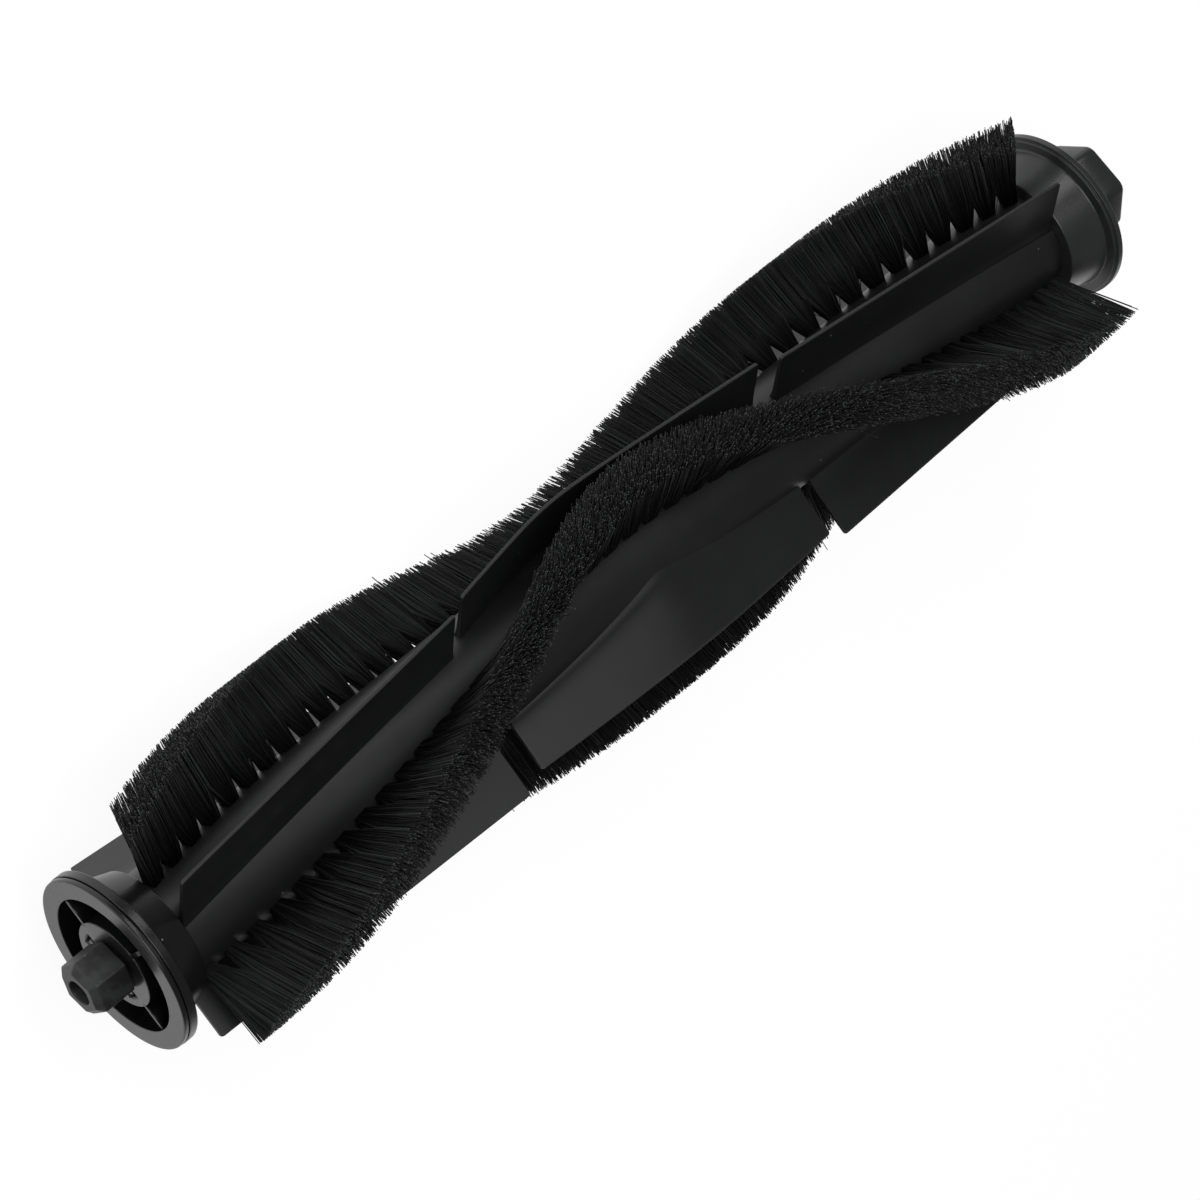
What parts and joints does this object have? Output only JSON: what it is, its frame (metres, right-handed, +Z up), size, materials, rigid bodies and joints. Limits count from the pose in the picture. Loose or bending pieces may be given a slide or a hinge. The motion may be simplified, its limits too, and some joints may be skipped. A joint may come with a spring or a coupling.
{
  "type": "robot vacuum roller brush",
  "caption": "Roller brush for a robot vacuum: core tube with chevron bristle rows and rubber wiper flaps, a hexagonal drive peg at one end and a free-spinning hexagonal bush at the other.",
  "frame": {"origin": "on the roller's axis, half-way between the tip of the bearing bush and the tip of the drive peg", "axes": "+X along the axis towards the drive peg, +Z up with the roller lying on its bristle tips"},
  "size_m": [0.225, 0.0444, 0.0444],
  "materials": {
    "core": "satin black moulded plastic",
    "caps": "satin dark grey moulded plastic",
    "bush": "matte dark grey plastic",
    "flaps": "smooth black rubber",
    "bristles": "black nylon filament",
    "pin": "ground steel",
    "anchors": "drawn wire"
  },
  "bodies": {
    "roller": {"core_tube": "core", "bearing_end_cap": "caps", "drive_end_cap": "caps", "axle_pin": "pin", "flap_1_bearing_side": "flaps", "flap_1_middle": "flaps", "flap_1_drive_side": "flaps", "flap_2_bearing_side": "flaps", "flap_2_middle": "flaps", "flap_2_drive_side": "flaps", "flap_3_bearing_side": "flaps", "flap_3_middle": "flaps", "flap_3_drive_side": "flaps", "bristle_row_1": "bristles", "bristle_row_2": "bristles", "bristle_row_3": "bristles", "tuft_anchors_1": "anchors", "tuft_anchors_2": "anchors", "tuft_anchors_3": "anchors"},
    "bush": {"bearing_bush": "bush"}
  },
  "joints": [
    {"name": "bush_spin", "type": "hinge", "parent": "roller", "child": "bush", "pos_m": [-0.10608, 0, 0], "axis": [1, 0, 0], "continuous": true}
  ]
}
